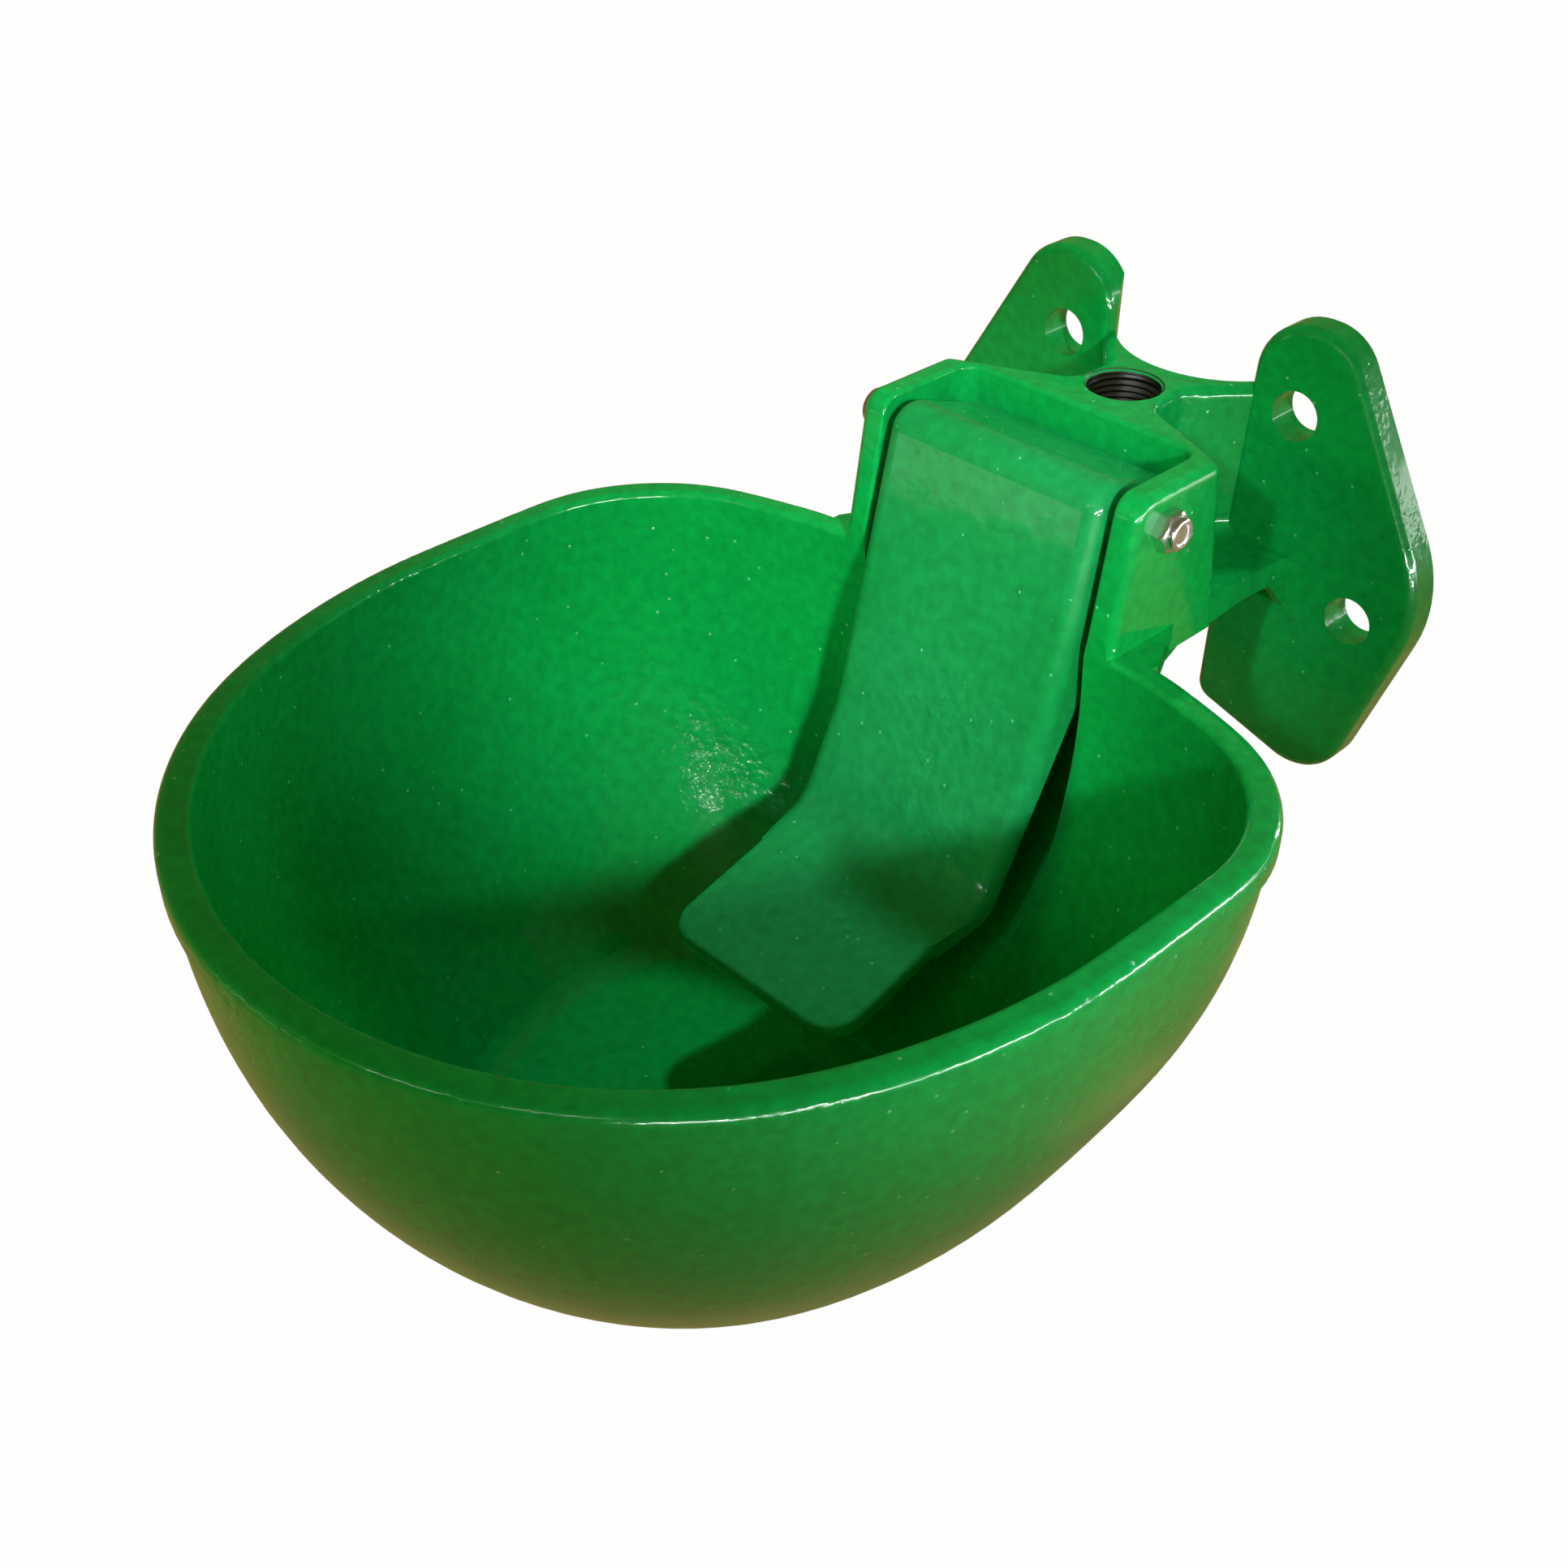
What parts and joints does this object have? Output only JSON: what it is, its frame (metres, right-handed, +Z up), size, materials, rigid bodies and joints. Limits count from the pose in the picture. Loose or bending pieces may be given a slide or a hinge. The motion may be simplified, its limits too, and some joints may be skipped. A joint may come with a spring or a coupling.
{
  "type": "livestock drinking bowl",
  "caption": "Wall-mounted cast drinking bowl with a hinged tongue that an animal pushes to open a sprung water valve.",
  "frame": {"origin": "on the wall face, midway between the two upper bolt holes", "axes": "+Z up, +Y into the wall, +X to the right of someone facing the wall; the animal stands at -Y"},
  "size_m": [0.245, 0.319, 0.1944],
  "materials": {
    "enamelled_casting": "glossy green enamel over cast iron",
    "enamelled_tongue": "satin green enamel over cast iron",
    "zinc_plated_steel": "bright zinc plate",
    "nylon": "natural nylon",
    "valve_brass": "turned brass",
    "fibre_gasket": "red vulcanised fibre",
    "seal_rubber": "black moulded rubber",
    "spring_steel": "stainless wire"
  },
  "bodies": {
    "base": {"bowl_casting": "enamelled_casting", "hinge_bolt": "zinc_plated_steel", "hinge_bolt_washer": "zinc_plated_steel", "hinge_lock_nut": "zinc_plated_steel", "lock_nut_insert": "nylon", "valve_body": "valve_brass", "valve_gasket": "fibre_gasket", "valve_spring": "spring_steel", "spring_retainer": "valve_brass", "strainer_ring": "nylon", "strainer_gauze": "spring_steel", "outlet_plug": "zinc_plated_steel", "outlet_plug_seal": "fibre_gasket"},
    "tongue": {"tongue": "enamelled_tongue"},
    "plunger": {"valve_stem": "valve_brass", "valve_seal": "seal_rubber"}
  },
  "joints": [
    {"name": "tongue_hinge", "type": "hinge", "parent": "base", "child": "tongue", "pos_m": [0, -0.0769, -0.006], "axis": [1, 0, 0], "range_deg": [0, 9]},
    {"name": "plunger_slide", "type": "slide", "parent": "base", "child": "plunger", "axis": [0, 1, 0], "range_m": [0, 0.003], "stiffness_N_per_m": 600, "springref_m": -0.003, "deforming": ["valve_spring"]}
  ],
  "couplings": [
    {"joint": "plunger_slide", "follows": "tongue_hinge", "m_per_rad": 0.019}
  ]
}
